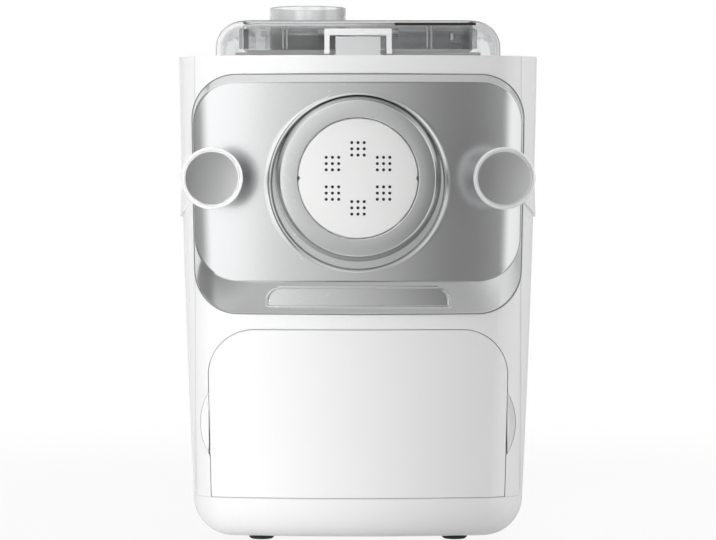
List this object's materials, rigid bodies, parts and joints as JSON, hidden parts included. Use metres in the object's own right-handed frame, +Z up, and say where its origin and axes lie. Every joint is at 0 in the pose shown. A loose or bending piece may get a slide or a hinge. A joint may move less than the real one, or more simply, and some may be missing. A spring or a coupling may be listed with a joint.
{
  "type": "electric pasta maker",
  "caption": "Countertop electric pasta maker: white body, silver front panel held by screw knobs, shaping disc, clear hinged lid with water cup, accessory drawer, motor, gears and auger.",
  "frame": {"origin": "on the ground under the middle of the object's box", "axes": "+Z up, the front faces -Y, +X to the right as seen from the front"},
  "size_m": [0.21, 0.405, 0.317],
  "materials": {
    "white_gloss": "smooth glossy white, faint waviness",
    "panel_silver": "fine satin metallic lacquer",
    "collar_silver": "satin metallic with a bright turned edge",
    "knob_silver": "satin grey face with a bright rim",
    "disc_cream": "fine matt off-white",
    "clear_lid": "clear moulded plastic",
    "latch_white": "smooth white",
    "latch_grey": "fine matt light grey",
    "chamber_white": "fine matt white",
    "bay_grey": "fine matt light grey",
    "rubber_black": "matt black",
    "seal_grey": "soft matt grey",
    "auger_plastic": "fine matt off-white",
    "steel": "fine turned steel",
    "chassis_zinc": "zinc plated",
    "gearbox_grey": "glass-filled grey plastic",
    "gear_nylon": "waxy natural nylon",
    "brass": "machined brass",
    "core_iron": "dark laminated iron",
    "dark_gloss": "glossy black",
    "button_grey": "satin grey",
    "board_green": "coated board",
    "black_plastic": "matt black moulded plastic"
  },
  "bodies": {
    "housing": {"housing_shell": "white_gloss", "base_tray": "white_gloss", "rubber_feet": "rubber_black", "housing_screws": "steel", "front_frame": "white_gloss", "clamp_nuts": "steel", "rear_cover": "white_gloss", "mixing_chamber": "chamber_white", "extrusion_barrel": "chamber_white", "chamber_seal": "seal_grey", "drawer_bay": "bay_grey", "chassis_plate": "chassis_zinc", "chassis_screws": "steel", "gearbox_housing": "gearbox_grey", "gearbox_cover": "gearbox_grey", "drive_bearings": "steel", "gear_pin": "steel", "motor_can": "chassis_zinc", "motor_bell": "chassis_zinc", "motor_bushes": "brass", "motor_magnets": "core_iron", "control_bezel": "dark_gloss", "display_lens": "dark_gloss", "display_module": "black_plastic", "control_board": "board_green", "board_screws": "steel", "key_switches": "black_plastic", "inlet_socket": "black_plastic", "inlet_pins": "steel", "hinge_brackets": "latch_white", "hinge_pins": "steel", "latch_keeper": "latch_grey"},
    "front_panel": {"front_panel": "panel_silver", "disc_collar": "collar_silver"},
    "shaping_disc": {"shaping_disc": "disc_cream"},
    "knob_left": {"knob_left": "knob_silver", "knob_stem_left": "steel"},
    "knob_right": {"knob_right": "knob_silver", "knob_stem_right": "steel"},
    "lid": {"lid_shell": "clear_lid", "latch_pin": "steel"},
    "lid_latch": {"lid_latch": "latch_white"},
    "water_cup": {"water_cup": "clear_lid"},
    "drawer": {"drawer_front": "white_gloss", "drawer_tray": "bay_grey", "disc_rack": "bay_grey", "spare_discs": "disc_cream"},
    "auger": {"auger": "auger_plastic", "mixing_paddle": "auger_plastic", "drive_shaft": "steel", "output_gear": "gear_nylon"},
    "mid_gear": {"mid_gear": "gear_nylon"},
    "motor_rotor": {"motor_shaft": "steel", "rotor_core": "core_iron", "motor_pinion": "brass", "cooling_fan": "gear_nylon"},
    "button_program": {"button_program": "button_grey"},
    "button_weight": {"button_weight": "button_grey"},
    "button_start": {"button_start": "button_grey"},
    "button_power": {"button_power": "button_grey"}
  },
  "joints": [
    {"name": "front_panel_slide", "type": "slide", "parent": "housing", "child": "front_panel", "axis": [0, -1, 0], "range_m": [0, 0.12]},
    {"name": "shaping_disc_slide", "type": "slide", "parent": "front_panel", "child": "shaping_disc", "axis": [0, 1, 0], "range_m": [0, 0.03]},
    {"name": "knob_left_turn", "type": "hinge", "parent": "front_panel", "child": "knob_left", "pos_m": [-0.08298, -0.19, 0.212], "axis": [0, -1, 0], "range_deg": [0, 720]},
    {"name": "knob_right_turn", "type": "hinge", "parent": "front_panel", "child": "knob_right", "pos_m": [0.08298, -0.19, 0.212], "axis": [0, -1, 0], "range_deg": [0, 720]},
    {"name": "lid_hinge", "type": "hinge", "parent": "housing", "child": "lid", "pos_m": [0, 0.047, 0.291], "axis": [-1, 0, 0], "range_deg": [0, 100]},
    {"name": "lid_latch_turn", "type": "hinge", "parent": "lid", "child": "lid_latch", "pos_m": [0, -0.1665, 0.2968], "axis": [-1, 0, 0], "range_deg": [0, 35], "stiffness_Nm_per_rad": 0.02, "springref_deg": -9.74},
    {"name": "water_cup_lift", "type": "slide", "parent": "lid", "child": "water_cup", "axis": [0, 0, 1], "range_m": [0, 0.06]},
    {"name": "drawer_slide", "type": "slide", "parent": "housing", "child": "drawer", "axis": [0, -1, 0], "range_m": [0, 0.125]},
    {"name": "auger_spin", "type": "hinge", "parent": "housing", "child": "auger", "pos_m": [0, 0, 0.212], "axis": [0, 1, 0], "continuous": true},
    {"name": "mid_gear_spin", "type": "hinge", "parent": "housing", "child": "mid_gear", "pos_m": [0.035, 0.03, 0.15842], "axis": [0, 1, 0], "continuous": true},
    {"name": "motor_spin", "type": "hinge", "parent": "housing", "child": "motor_rotor", "pos_m": [0, 0.09, 0.13013], "axis": [0, 1, 0], "continuous": true},
    {"name": "button_program_press", "type": "slide", "parent": "housing", "child": "button_program", "axis": [0, 0, -1], "range_m": [0, 0.0015], "stiffness_N_per_m": 300, "springref_m": -0.0005},
    {"name": "button_weight_press", "type": "slide", "parent": "housing", "child": "button_weight", "axis": [0, 0, -1], "range_m": [0, 0.0015], "stiffness_N_per_m": 300, "springref_m": -0.0005},
    {"name": "button_start_press", "type": "slide", "parent": "housing", "child": "button_start", "axis": [0, 0, -1], "range_m": [0, 0.0015], "stiffness_N_per_m": 300, "springref_m": -0.0005},
    {"name": "button_power_press", "type": "slide", "parent": "housing", "child": "button_power", "axis": [0, 0, -1], "range_m": [0, 0.0015], "stiffness_N_per_m": 300, "springref_m": -0.0005}
  ],
  "couplings": [
    {"joint": "shaping_disc_slide", "follows": "front_panel_slide", "ratio": 0.25},
    {"joint": "mid_gear_spin", "follows": "auger_spin", "ratio": -3.5714},
    {"joint": "motor_spin", "follows": "auger_spin", "ratio": 17.857}
  ]
}
